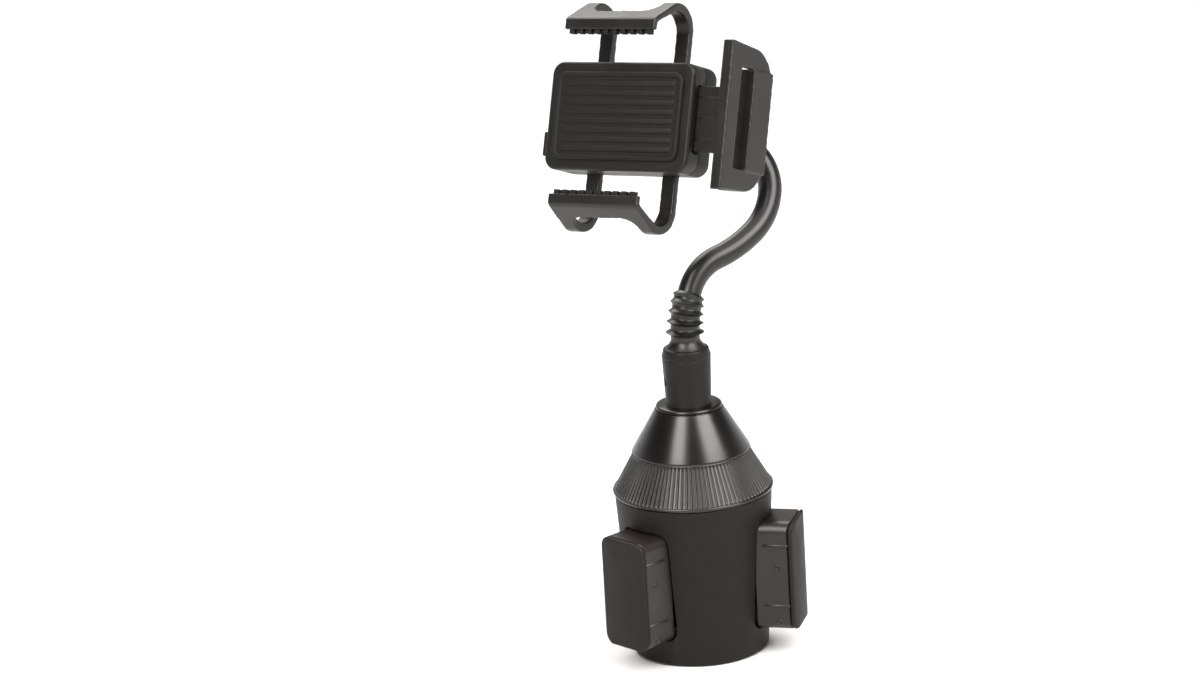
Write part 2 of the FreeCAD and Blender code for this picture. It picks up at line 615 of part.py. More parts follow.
def pinion():
    """Pinion between the two racks, with a ratchet wheel in front of it."""
    teeth = []
    for tooth in range(PINION_TEETH):
        shape = polygon_face([V(4.2, RACK_FRONT_Y, -1.0), V(4.8, RACK_FRONT_Y, -0.85),
                              V(6.7, RACK_FRONT_Y, -0.34), V(6.7, RACK_FRONT_Y, 0.34),
                              V(4.8, RACK_FRONT_Y, 0.85), V(4.2, RACK_FRONT_Y, 1.0)])
        shape = shape.extrude(V(0, RACK_BACK_Y - RACK_FRONT_Y, 0))
        shape.rotate(V(0, 0, 0), V(0, 1, 0), 360.0 * tooth / PINION_TEETH)
        teeth.append(shape)
    gear = post_at(0, 0, 4.8, RACK_FRONT_Y, RACK_BACK_Y)
    for tooth in teeth:
        gear = gear.fuse(tooth)
    gear = gear.fuse(post_at(0, 0, 3.6, -16.2, RACK_FRONT_Y + 0.2))
    points = []
    for tooth in range(RATCHET_TEETH):
        angle = 2 * math.pi * tooth / RATCHET_TEETH
        slope_end = angle + 2 * math.pi / RATCHET_TEETH * 0.96
        points.append(V(RATCHET_ROOT_R * math.cos(angle), -18.2, RATCHET_ROOT_R * math.sin(angle)))
        points.append(V(RATCHET_R * math.cos(slope_end), -18.2, RATCHET_R * math.sin(slope_end)))
    wheel = polygon_face(points).extrude(V(0, 2.2, 0))
    return gear.fuse(wheel).cut(post_at(0, 0, 1.98, -20, -10))


def ratchet_pawl():
    """Lever that locks the ratchet wheel; its tail is pushed by the release button."""
    px, pz = PAWL_PIVOT
    lever = polygon_face([V(px - 3.2, -18.2, pz - 7.6), V(px - 1.2, -18.2, pz - 7.6),
                          V(px + 2.4, -18.2, pz - 0.6), V(-7.62, -18.2, 0.6), V(-7.9, -18.2, 1.6),
                          V(px - 0.8, -18.2, pz + 2.4), V(px - 2.4, -18.2, pz + 0.4)])
    lever = lever.extrude(V(0, 2.2, 0))
    return lever.cut(post_at(px, pz, 1.25, -20, -14))


def release_button():
    """Push button on the housing's end, with a stem that reaches the pawl's tail."""
    cap = box(-38.2, -35.4, -21.0, -13.2, -15.2, -5.8)
    cap = fillet_where(cap, 1.0, lambda e: e.BoundBox.XMax < -38.1)
    stem = box(-35.6, PAWL_PIVOT[0] - 3.5, -18.0, -15.9, -12.5, -10.0)
    return cap.fuse(stem)


# ---------------------------------------------------------------- jaws
def jaw_profile():
    """Section of a jaw: lip, slanted wall, rounded corner and rear leg."""
    y0 = REST_Y
    outer = [Part.makeLine(V(0, y0 - 10.2, 31.65), V(0, y0 - 10.2, 35.4)),
             Part.makeLine(V(0, y0 - 10.2, 35.4), V(0, y0 - 9.2, 36.6)),
             Part.makeLine(V(0, y0 - 9.2, 36.6), V(0, y0 + 3.0, 43.8)),
             Part.Arc(V(0, y0 + 3.0, 43.8), V(0, y0 + 12.3, 42.4), V(0, y0 + 16.5, 35.0)).toShape(),
             Part.makeLine(V(0, y0 + 16.5, 35.0), V(0, y0 + 16.5, 12.6)),
             Part.makeLine(V(0, y0 + 16.5, 12.6), V(0, y0 + 13.7, 12.6))]
    inner = [Part.makeLine(V(0, y0 + 13.7, 12.6), V(0, y0 + 13.7, 34.0)),
             Part.Arc(V(0, y0 + 13.7, 34.0), V(0, y0 + 10.4, 39.4), V(0, y0 + 4.0, 40.9)).toShape(),
             Part.makeLine(V(0, y0 + 4.0, 40.9), V(0, y0 - 6.8, 35.6)),
             Part.makeLine(V(0, y0 - 6.8, 35.6), V(0, y0 - 8.2, 34.6)),
             Part.makeLine(V(0, y0 - 8.2, 34.6), V(0, y0 - 8.2, 31.65)),
             Part.makeLine(V(0, y0 - 8.2, 31.65), V(0, y0 - 10.2, 31.65))]
    return Part.Face(Part.Wire(outer + inner))


def rack_teeth(x_tip, x_root, z_low, z_high):
    """Straight rack teeth with a gap centred on the pinion's own axis."""
    teeth = []
    count = int((z_high - z_low) / RACK_PITCH) + 2
    for index in range(-count, count + 1):
        z = (index + 0.5) * RACK_PITCH
        if z - 1 < z_low or z + 1 > z_high:
            continue
        face = polygon_face([V(x_root, RACK_FRONT_Y, z - 0.9), V(x_tip, RACK_FRONT_Y, z - 0.3),
                             V(x_tip, RACK_FRONT_Y, z + 0.3), V(x_root, RACK_FRONT_Y, z + 0.9)])
        teeth.append(face.extrude(V(0, RACK_BACK_Y - RACK_FRONT_Y, 0)))
    return teeth


def jaw():
    """Upper jaw: a lipped bar on two legs; one leg carries the rack."""
    body = jaw_profile().extrude(V(2 * ARM_HALF_X, 0, 0))
    body.translate(V(-ARM_HALF_X, 0, 0))
    half = ARM_HALF_X - ARM_LEG_W
    window = box(-half, half, REST_Y - 3.5, REST_Y + 30, 5, 60)
    window = fillet_where(window, 5.5, lambda e: along(e, 2) and e.BoundBox.YMax < REST_Y)
    body = body.cut(window)
    bar = box(7.2, 10.4, RACK_FRONT_Y, RACK_BACK_Y, -9, RACK_END_Z)
    link = box(7.2, ARM_HALF_X, RACK_FRONT_Y, RACK_BACK_Y, 9.4, RACK_END_Z)
    body = body.fuse(bar).fuse(link)
    for tooth in rack_teeth(5.3, 7.3, -9, RACK_END_Z):
        body = body.fuse(tooth)
    return body


def grip_pad():
    """Soft lining behind a jaw's lip, with a row of teeth along the lip's edge."""
    y0 = REST_Y
    lining = box(-18.5, 18.5, y0 - 8.2, y0 - 7.2, 30.4, 34.4)
    for index in range(GRIP_TEETH):
        x = (index - (GRIP_TEETH - 1) / 2) * GRIP_PITCH
        tooth = box(x - 1.1, x + 1.1, y0 - 9.7, y0 - 7.2, 30.0, 31.65)
        lining = lining.fuse(tooth)
    return lining


def half_turned(shape):
    """The lower jaw's copy of an upper piece."""
    copy = shape.copy()
    copy.rotate(V(0, 0, 0), V(0, 1, 0), 180)
    return copy


# ---------------------------------------------------------------- foot
def foot_outline(inset, x0, x1):
    """D-shaped side view of the foot, as a prism along X."""
    y0, half = REST_Y, FOOT_HALF_Z - inset
    front, back = y0 - 10.2, y0 + 18.4 - inset
    bend = 13.0 - inset * 0.5
    mid = bend * (1 - math.sqrt(0.5))
    low_arc = Part.Arc(V(x0, back - bend, -half + 1), V(x0, back - mid, -half + 1 + mid),
                       V(x0, back, -half + 1 + bend)).toShape()
    high_arc = Part.Arc(V(x0, back, half - 1 - bend), V(x0, back - mid, half - 1 - mid),
                        V(x0, back - bend, half - 1)).toShape()
    edges = [Part.makeLine(V(x0, front, half), V(x0, front, -half)),
             Part.makeLine(V(x0, front, -half), V(x0, back - bend, -half + 1)), low_arc,
             Part.makeLine(V(x0, back, -half + 1 + bend), V(x0, back, half - 1 - bend)), high_arc,
             Part.makeLine(V(x0, back - bend, half - 1), V(x0, front, half))]
    return Part.Face(Part.Wire(edges)).extrude(V(x1 - x0, 0, 0))


def foot_bracket():
    """Sliding foot: lip, end plate with a window, rounded rim, end block and tongue."""
    y0 = REST_Y
    plate = foot_outline(0, FOOT_OUTER_X - 2.2, FOOT_OUTER_X)
    rim = foot_outline(0, FOOT_OUTER_X - 7.2, FOOT_OUTER_X).cut(
        foot_outline(2.2, FOOT_OUTER_X - 8, FOOT_OUTER_X + 1))
    rim = rim.common(box(40, 70, y0 - 1.0, y0 + 20, -40, 40))
    plate = plate.cut(box(50, 60, y0 - 2.5, y0 + 25, -19, 19))
    lip = box(FOOT_LIP_X, FOOT_OUTER_X, y0 - 10.2, y0 - 8.0, -FOOT_HALF_Z, FOOT_HALF_Z)
    lip = lip.makeChamfer(1.2, [e for e in lip.Edges if along(e, 2) and e.BoundBox.YMax < y0 - 10])
    block = box(48.8, FOOT_OUTER_X + 0.6, y0 + 5.5, y0 + 18.4, -19.2, 19.2)
    tongue = box(-8, 49.5, -22.3, -19.7, -12.6, 12.6)
    for z in (-8, 0, 8):
        tongue = tongue.cut(box(-6, 47, -22.6, -22.0, z - 0.5, z + 0.5))
    return plate.fuse(rim).fuse(lip).fuse(block).fuse(tongue)


def foot_grip():
    """Soft strip inside the foot that the phone's end stands on."""
    y0 = REST_Y
    strip = box(FOOT_OUTER_X - 3.6, FOOT_OUTER_X - 2.2, y0 - 8.0, y0 - 2.9, -24, 24)
    for index in range(12):
        z = (index - 5.5) * 4.0
        strip = strip.cut(box(FOOT_OUTER_X - 4, FOOT_OUTER_X - 3.0, y0 - 9, y0, z - 0.5, z + 0.5))
    return strip


# ---------------------------------------------------------------- assembly
def cradle_placement(frames):
    """Cradle frame in the row: at the ball's centre, tilted back and slightly rolled."""
    tip, rotation = frames[-1]
    centre = tip + rotation.multVec(V(0, 0, BALL_OFFSET))
    tilt = FreeCAD.Rotation(V(1, 0, 0), -CRADLE_TILT_DEG)
    roll = FreeCAD.Rotation(V(0, 1, 0), -CRADLE_ROLL_DEG)
    return centre, tilt.multiply(roll)


def main():
    """Write one file for each node."""
    frames = link_frames()
    cradle = cradle_placement(frames)
    upright = {"base_cup": base_cup(), "base_floor": base_floor(), "floor_screws": floor_screws(),
               "center_post": center_post(), "post_screw": post_screw(), "cam_plate": cam_plate(),
               "cam_screws": cam_screws(), "knurled_ring": knurled_ring(),
               "ring_washer": ring_washer(), "cone_cap": cone_cap(), "collar": collar(),
               "collar_set_screw": collar_set_screw(), "boot_foot": boot_foot(),
               "neck_core_0": root_core(), "neck_sleeve_0": root_sleeve(),
               "neck_boot": neck_boot(frames)}
    for node, shape in upright.items():
        save(shape, node)
    for number, angle in enumerate(PAD_ANGLES, start=1):
        save(turned_z(pad_block(), angle), "pad_block_%d" % number)
        save(turned_z(pad_rubber(), angle), "pad_rubber_%d" % number)
        save(turned_z(pad_carriage(), angle), "pad_carriage_%d" % number)
    for index in range(len(LINK_BENDS)):
        save(neck_core(index, frames), "neck_core_%d" % (index + 1))
        save(neck_sleeve(index, frames), "neck_sleeve_%d" % (index + 1))
    save(placed(neck_ferrule(), frames[-1]), "neck_ferrule")
    save(placed(ball_stud(), frames[-1]), "ball_stud")
    upper_jaw, upper_grip = jaw(), grip_pad()
    tilted = {"ball_seat_front": seat_shell(-8, -2.8), "ball_seat_rear": seat_shell(0, 3.4),
              "ball_socket": ball_socket(), "lock_nut": lock_nut(), "front_shell": front_shell(),
              "back_shell": back_shell(), "front_pad": front_pad(), "shell_screws": shell_screws(),
              "mid_plate": mid_plate(), "pinion_axle": pinion_axle(), "pinion": pinion(),
              "ratchet_pawl": ratchet_pawl(), "release_button": release_button(),
              "jaw_top": upper_jaw, "jaw_bottom": half_turned(upper_jaw), "grip_top": upper_grip,
              "grip_bottom": half_turned(upper_grip), "foot_bracket": foot_bracket(),
              "foot_grip": foot_grip()}
    for node, shape in tilted.items():
        save(placed(shape, cradle), node)


main()
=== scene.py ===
"""Looks of a cup-holder phone mount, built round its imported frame.

Metres, in the frame's own axes: +Z up along the base's axis, -Y the way the phone's screen
faces.  Surfaces of revolution, the gooseneck, the boot, the cup and the pads are built here in
mesh code.  The other shown parts are copies of their frame nodes with rounded edges.
"""
import json
import math

import bmesh
import bpy
from mathutils import Matrix, Vector

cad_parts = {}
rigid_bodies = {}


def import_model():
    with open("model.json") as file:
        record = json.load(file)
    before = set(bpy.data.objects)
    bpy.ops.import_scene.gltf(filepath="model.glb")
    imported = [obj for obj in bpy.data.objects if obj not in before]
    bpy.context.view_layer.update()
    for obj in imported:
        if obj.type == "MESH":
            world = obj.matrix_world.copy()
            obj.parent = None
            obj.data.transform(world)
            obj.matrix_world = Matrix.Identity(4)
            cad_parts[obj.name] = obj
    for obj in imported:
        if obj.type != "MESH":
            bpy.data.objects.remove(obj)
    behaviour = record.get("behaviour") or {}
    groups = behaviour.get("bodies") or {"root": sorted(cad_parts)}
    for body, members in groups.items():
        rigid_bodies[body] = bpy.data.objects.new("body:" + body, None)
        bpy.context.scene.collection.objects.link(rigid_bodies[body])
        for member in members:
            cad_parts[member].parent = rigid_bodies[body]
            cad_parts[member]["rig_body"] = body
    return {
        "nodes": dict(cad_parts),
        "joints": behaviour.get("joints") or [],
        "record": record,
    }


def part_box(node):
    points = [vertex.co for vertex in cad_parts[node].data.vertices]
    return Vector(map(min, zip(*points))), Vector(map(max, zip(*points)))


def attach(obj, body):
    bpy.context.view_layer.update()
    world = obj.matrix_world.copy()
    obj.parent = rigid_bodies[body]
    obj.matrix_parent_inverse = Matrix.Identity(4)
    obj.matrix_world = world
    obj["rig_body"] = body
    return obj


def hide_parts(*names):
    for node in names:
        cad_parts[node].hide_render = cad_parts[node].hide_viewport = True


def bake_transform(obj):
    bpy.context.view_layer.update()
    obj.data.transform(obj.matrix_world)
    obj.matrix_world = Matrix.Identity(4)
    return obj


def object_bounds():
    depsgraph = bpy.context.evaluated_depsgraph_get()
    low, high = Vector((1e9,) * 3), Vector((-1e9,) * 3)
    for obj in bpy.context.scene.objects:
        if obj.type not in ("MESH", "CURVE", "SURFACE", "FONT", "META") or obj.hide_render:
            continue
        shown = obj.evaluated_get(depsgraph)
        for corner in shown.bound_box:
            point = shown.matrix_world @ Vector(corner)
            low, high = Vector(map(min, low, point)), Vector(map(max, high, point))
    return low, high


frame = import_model()
cad_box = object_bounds()

MM = 0.001
JOINTS = {joint["name"]: joint for joint in frame["joints"]}
UP = Vector((0.0, 0.0, 1.0))
MIDDLE = Vector((0.0, 0.0, (cad_box[0].z + cad_box[1].z) / 2))


def joint_point(name):
    """Where a joint's axis stands, in metres."""
    return Vector(JOINTS[name]["pos_m"])


def joint_axis(name):
    """Which way a joint's axis points."""
    return Vector(JOINTS[name]["axis"]).normalized()


# ---------------------------------------------------------------- materials
class Nodes:
    """Short way to add and link shader nodes of one material."""

    def __init__(self, name):
        self.material = bpy.data.materials.new(name)
        self.material.use_nodes = True
        self.tree = self.material.node_tree
        self.shader = self.tree.nodes["Principled BSDF"]
        self.place = self.add("ShaderNodeTexCoord").outputs["Object"]

    def add(self, kind, **settings):
        node = self.tree.nodes.new(kind)
        for key, value in settings.items():
            setattr(node, key, value)
        return node

    def link(self, start, end):
        self.tree.links.new(start, end)

    def noise(self, size, detail=2.0, roughness=0.5, stretch=None):
        """Noise whose features are about `size` metres across."""
        node = self.add("ShaderNodeTexNoise")
        node.inputs["Scale"].default_value = 1.0 / size
        node.inputs["Detail"].default_value = detail
        node.inputs["Roughness"].default_value = roughness
        source = self.place
        if stretch is not None:
            mapping = self.add("ShaderNodeMapping")
            mapping.inputs["Scale"].default_value = stretch
            self.link(source, mapping.inputs["Vector"])
            source = mapping.outputs["Vector"]
        self.link(source, node.inputs["Vector"])
        return node.outputs["Fac"]

    def ranged(self, value, low, high, to_low, to_high):
        """Map a value from one range to another."""
        node = self.add("ShaderNodeMapRange")
        sockets = ("From Min", "From Max", "To Min", "To Max")
        for socket, number in zip(sockets, (low, high, to_low, to_high)):
            node.inputs[socket].default_value = number
        self.link(value, node.inputs["Value"])
        return node.outputs["Result"]

    def mixed(self, factor, first, second):
        """Blend two colours."""
        node = self.add("ShaderNodeMix", data_type="RGBA")
        self.link(factor, node.inputs[0])
        for socket, colour in ((node.inputs[6], first), (node.inputs[7], second)):
            if isinstance(colour, tuple):
                socket.default_value = (*colour, 1.0)
            else:
                self.link(colour, socket)
        return node.outputs[2]

    def bump(self, height, strength, depth):
        """Bump of `depth` metres from a height value, added to the one before."""
        node = self.add("ShaderNodeBump")
        node.inputs["Strength"].default_value = strength
        node.inputs["Distance"].default_value = depth
        self.link(height, node.inputs["Height"])
        normal = self.shader.inputs["Normal"]
        if normal.is_linked:
            self.link(normal.links[0].from_socket, node.inputs["Normal"])
        self.link(node.outputs["Normal"], normal)


def moulded(name, colour, rough, spread=0.05, grain=0.0004, grain_strength=0.2, rub=0.3, dust=0.14,
            shine=0.5):
    """Moulded plastic or rubber: fine grain, uneven gloss, faint flow marks, specks and rubbed edges."""
    nodes = Nodes(name)
    cloud = nodes.noise(0.03, detail=3.0)
    speck = nodes.noise(0.0018, detail=4.0, roughness=0.7)
    fine = nodes.noise(grain, detail=1.5)
    flow = nodes.noise(0.012, detail=2.0, stretch=(1.0, 1.0, 0.25))
    pale = tuple(c * 1.3 for c in colour)
    dark = tuple(c * 0.8 for c in colour)
    tone = nodes.mixed(nodes.ranged(cloud, 0.3, 0.7, 0.0, 1.0), dark, pale)
    dusty = tuple(c * 2.0 + 0.003 for c in colour)
    tone = nodes.mixed(nodes.ranged(speck, 0.60, 0.80, 0.0, dust), tone, dusty)
    edge = nodes.add("ShaderNodeNewGeometry").outputs["Pointiness"]
    rubbed = tuple(c * 2.2 + 0.006 for c in colour)
    tone = nodes.mixed(nodes.ranged(edge, 0.53, 0.64, 0.0, rub), tone, rubbed)
    nodes.link(tone, nodes.shader.inputs["Base Color"])
    patches = nodes.noise(0.014, detail=4.0, roughness=0.6)
    gloss = nodes.ranged(patches, 0.3, 0.7, rough - spread, rough + spread)
    nodes.link(gloss, nodes.shader.inputs["Roughness"])
    nodes.shader.inputs["Specular IOR Level"].default_value = shine
    nodes.bump(fine, grain_strength, 0.00003)
    nodes.bump(flow, 0.08, 0.00005)
    return nodes.material


def metal(name, colour, rough, brush=(1.0, 1.0, 0.06), scratch=0.3):
    """Drawn or polished steel: fine lines, uneven gloss and a few darker spots."""
    nodes = Nodes(name)
    lines = nodes.noise(0.0002, detail=2.0, stretch=brush)
    cloud = nodes.noise(0.004, detail=3.0)
    tone = nodes.mixed(nodes.ranged(cloud, 0.35, 0.75, 0.0, 1.0), colour, tuple(c * 0.72 for c in colour))
    nodes.link(tone, nodes.shader.inputs["Base Color"])
    nodes.shader.inputs["Metallic"].default_value = 1.0
    nodes.link(nodes.ranged(lines, 0.3, 0.7, rough - 0.06, rough + 0.08), nodes.shader.inputs["Roughness"])
    nodes.bump(lines, scratch, 0.00001)
    return nodes.material


MATERIALS = {
    "matte_black": moulded("moulded_cup", (0.0050, 0.0036, 0.0030), 0.56, shine=0.22),
    "pad_plastic": moulded("moulded_pad_block", (0.0085, 0.0063, 0.0052), 0.34, shine=0.4),
    "pad_rubber": moulded("pad_face_rubber", (0.0055, 0.0047, 0.0043), 0.60, grain=0.0006,
                          grain_strength=0.35, shine=0.25),
    "ring_plastic": moulded("ribbed_ring", (0.0045, 0.0038, 0.0034), 0.30, rub=0.3, shine=0.55),
    "cone_plastic": moulded("smooth_cone", (0.0030, 0.0025, 0.0023), 0.26, spread=0.02, grain_strength=0.03,
                            dust=0.03),
    "collar_plastic": moulded("smooth_collar", (0.0035, 0.0030, 0.0027), 0.46, grain_strength=0.1, dust=0.08,
                              shine=0.25),
    "cradle_plastic": moulded("moulded_housing", (0.0060, 0.0052, 0.0048), 0.46, shine=0.3),
    "jaw_plastic": moulded("moulded_jaw", (0.0065, 0.0053, 0.0047), 0.38, shine=0.4),
    "grip_rubber": moulded("grip_rubber_mat", (0.0050, 0.0045, 0.0042), 0.62, grain=0.0006,
                           grain_strength=0.4, shine=0.25),
    "boot_rubber": moulded("boot_rubber_mat", (0.0030, 0.0026, 0.0024), 0.38, grain_strength=0.04, dust=0.05,
                           rub=0.15),
    "sleeve": moulded("neck_skin_mat", (0.0022, 0.0018, 0.0016), 0.33, spread=0.02, grain_strength=0.01,
                      dust=0.02, rub=0.05),
    "spring_steel": metal("spring_steel_mat", (0.50, 0.49, 0.48), 0.34),
    "screw_steel": metal("screw_steel_mat", (0.20, 0.195, 0.20), 0.36),
    "ball_steel": metal("ball_steel_mat", (0.50, 0.50, 0.51), 0.26, scratch=0.1),
    "gear_plastic": moulded("dark_nylon", (0.020, 0.019, 0.018), 0.40, grain_strength=0.12, rub=0.1),
}
SLOT_OF = {part["node"]: part["material_slot"] for part in frame["record"]["subparts"]}


# ---------------------------------------------------------------- mesh helpers
def piece(name, vertices, faces, body, slot, nodes=(), sharp_deg=40.0):
    """A new shown piece from plain mesh data; it rides on a body unless body is None."""
    mesh = bpy.data.meshes.new(name)
    mesh.from_pydata([tuple(v) for v in vertices], [], faces)
    mesh.validate()
    obj = bpy.data.objects.new(name, mesh)
    bpy.context.scene.collection.objects.link(obj)
    finish_piece(obj, body, slot, nodes, sharp_deg)
    return obj


def finish_piece(obj, body, slot, nodes=(), sharp_deg=40.0):
    """Shade, paint and mount one piece."""
    work = bmesh.new()
    work.from_mesh(obj.data)
    bmesh.ops.recalc_face_normals(work, faces=work.faces)
    for face in work.faces:
        face.smooth = True
    for edge in work.edges:
        edge.smooth = len(edge.link_faces) == 2 and edge.calc_face_angle() < math.radians(sharp_deg)
    work.to_mesh(obj.data)
    work.free()
    obj.data.materials.clear()
    obj.data.materials.append(MATERIALS[slot])
    if body is not None:
        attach(obj, body)
    if nodes:
        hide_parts(*nodes)


def apply_modifiers(obj):
    """Bake an object's modifiers into its mesh."""
    depsgraph = bpy.context.evaluated_depsgraph_get()
    baked = bpy.data.meshes.new_from_object(obj.evaluated_get(depsgraph))
    obj.modifiers.clear()
    obj.data = baked


def softened(node, width_mm):
    """A copy of a frame node with its faces merged and its edges rounded."""
    source = frame["nodes"][node]
    obj = bpy.data.objects.new(node + "_look", source.data.copy())
    bpy.context.scene.collection.objects.link(obj)
    work = bmesh.new()
    work.from_mesh(obj.data)
    bmesh.ops.remove_doubles(work, verts=work.verts, dist=2e-6)
    bmesh.ops.dissolve_limit(work, angle_limit=math.radians(0.6), verts=work.verts, edges=work.edges)
    work.to_mesh(obj.data)
    work.free()
    round_edges(obj, width_mm, 28.0)
    finish_piece(obj, source["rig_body"], SLOT_OF[node], (node,), sharp_deg=32.0)
    return obj


def rounded(points, radii, steps=5):
    """A closed or open outline with its corners rounded; points are (a, b), radii per point."""
    outline = []
    count = len(points)
    for index, (point, radius) in enumerate(zip(points, radii)):
        corner = Vector(point)
        if radius <= 0:
            outline.append(corner)
            continue
        before = (Vector(points[index - 1]) - corner).normalized()
        after = (Vector(points[(index + 1) % count]) - corner).normalized()
        half = before.angle(after) / 2
        reach = radius / math.tan(half)
        centre = corner + (before + after).normalized() * (radius / math.sin(half))
        first, last = corner + before * reach - centre, corner + after * reach - centre
        for step in range(steps + 1):
            outline.append(centre + first.slerp(last, step / steps))
    return outline


def turned(name, profile, body, slot, nodes=(), columns=192, place=None):
    """Turn a closed (r, z) outline in millimetres about an axis."""
    place = place or Matrix.Identity(4)
    vertices, faces = [], []
    rows = len(profile)
    for column in range(columns):
        angle = 2 * math.pi * column / columns
        for r, z in profile:
            spot = Vector((r * math.cos(angle), r * math.sin(angle), z)) * MM
            vertices.append(place @ spot)
    for column in range(columns):
        after = (column + 1) % columns
        for row in range(rows):
            above = (row + 1) % rows
            faces.append((column * rows + row, after * rows + row,
                          after * rows + above, column * rows + above))
    return piece(name, vertices, faces, body, slot, nodes)


# ---------------------------------------------------------------- base
PAD_AXES = [Vector(JOINTS["pad_%d_slide" % number]["axis"]) for number in (1, 2, 3)]
PAD_ANGLES = [math.atan2(axis.y, axis.x) for axis in PAD_AXES]
CUP_FOOT_R, CUP_TOP_R, CUP_TOP_Z = 27.4, 31.0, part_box("base_cup")[1].z / MM
CUP_WALL = 2.2
PAD_WIDTH = 23.0
PAD_LOW_Z, PAD_HIGH_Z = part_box("pad_block_1")[0].z / MM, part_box("pad_block_1")[1].z / MM
PAD_GAP = 0.6
PAD_CORNER = 4.5
PAD_OUTER_R = 43.0
PAD_RUBBER = 1.6
PAD_INNER_X = 26.0
# ejector mark on a pad's side: (radius, height) from its rim to its middle
EJECTOR_RINGS = ((1.35, -0.1), (1.3, 0.1), (1.15, 0.22), (0.95, 0.22), (0.8, 0.05), (0.45, 0.0), (0.35, 0.12),
                 (0.15, 0.15))


def rounded_rect(half_y, half_z, corner, steps=8):
    """Points of a rounded rectangle about the origin."""
    points = []
    for quarter, (side_y, side_z) in enumerate(((1, 1), (-1, 1), (-1, -1), (1, -1))):
        centre = (side_y * (half_y - corner), side_z * (half_z - corner))
        for step in range(steps + 1):
            angle = math.pi / 2 * (quarter + step / steps)
            points.append((centre[0] + corner * math.cos(angle), centre[1] + corner * math.sin(angle)))
    return points


def pad_ring(inset, x_at, turn, spare=0.0):
    """One ring of a pad's loft: the outline, inset, laid on a surface x_at(across)."""
    middle_z = (PAD_LOW_Z + PAD_HIGH_Z) / 2
    half_y, half_z = PAD_WIDTH / 2 + spare - inset, (PAD_HIGH_Z - PAD_LOW_Z) / 2 + spare - inset
    corner = max(PAD_CORNER + spare - inset, 0.5)
    return [turn @ (Vector((x_at(across), across, middle_z + up)) * MM)
            for across, up in rounded_rect(half_y, half_z, corner)]


def loft(rings):
    """Vertices and faces of a closed skin through rings, with a face at each end."""
    count = len(rings[0])
    vertices = [point for ring in rings for point in ring]
    faces = [tuple(range(count)), tuple(range(len(vertices) - count, len(vertices)))]
    for row in range(len(rings) - 1):
        for column in range(count):
            after = (column + 1) % count
            faces.append((row * count + column, row * count + after,
                          (row + 1) * count + after, (row + 1) * count + column))
    return vertices, faces


def merged(parts):
    """Several (vertices, faces) meshes as one."""
    vertices, faces = [], []
    for part_vertices, part_faces in parts:
        start = len(vertices)
        vertices += part_vertices
        faces += [tuple(index + start for index in face) for face in part_faces]
    return vertices, faces


def true_cone_normals(obj, slope):
    """Give the cup's long conical faces the cone's own normals, in spite of the windows cut in them."""
    mesh = obj.data
    normals = [Vector(corner.vector) for corner in mesh.corner_normals]
    for polygon in mesh.polygons:
        flat = Vector((polygon.center.x, polygon.center.y, 0.0)).normalized()
        facing = polygon.normal.dot((flat - UP * slope).normalized())
        if abs(facing) < 0.985:
            continue
        for loop in polygon.loop_indices:
            spot = mesh.vertices[mesh.loops[loop].vertex_index].co
            out = Vector((spot.x, spot.y, 0.0)).normalized()
            normals[loop] = (out - UP * slope).normalized() * math.copysign(1.0, facing)
    mesh.normals_split_custom_set(normals)


def cup_skin():
    """The tapered cup, hollow, with a rounded foot and rim and three round-cornered pad windows."""
    slope = (CUP_TOP_R - CUP_FOOT_R) / CUP_TOP_Z
    points = [(24.6, 0.0), (CUP_FOOT_R, 0.0), (CUP_TOP_R, CUP_TOP_Z), (CUP_TOP_R - CUP_WALL, CUP_TOP_Z),
              (CUP_FOOT_R - CUP_WALL, 2.4), (24.6, 2.4)]
    obj = turned("cup_shell", rounded(points, [0, 1.3, 0.9, 0.5, 0, 0]), None, "matte_black")
    cutters = []
    for angle in PAD_ANGLES:
        turn = Matrix.Rotation(angle, 4, "Z")
        rings = [pad_ring(0.0, lambda across, x=x: x, turn, spare=PAD_GAP) for x in (15.0, 40.0)]
        cutters.append(loft(rings))
    windows = piece("window_cutter", *merged(cutters), None, "matte_black")
    cut(obj, windows)
    round_edges(obj, 0.4, 50.0)
    finish_piece(obj, "base", "matte_black", ("base_cup",), sharp_deg=60.0)
    true_cone_normals(obj, slope)
    return obj


def cut(obj, cutter):
    """Subtract one mesh from another and drop the cutter."""
    bpy.context.view_layer.update()
    knife = obj.modifiers.new("cut", "BOOLEAN")
    knife.operation = "DIFFERENCE"
    knife.solver = "EXACT"
    knife.object = cutter
    apply_modifiers(obj)
    bpy.data.objects.remove(cutter)


def round_edges(obj, width_mm, angle_deg, segments=3):
    """Round every edge sharper than an angle."""
    bevel = obj.modifiers.new("round_edges", "BEVEL")
    bevel.width = width_mm * MM
    bevel.segments = segments
    bevel.limit_method = "ANGLE"
    bevel.angle_limit = math.radians(angle_deg)
    bevel.miter_outer = "MITER_ARC"
    apply_modifiers(obj)


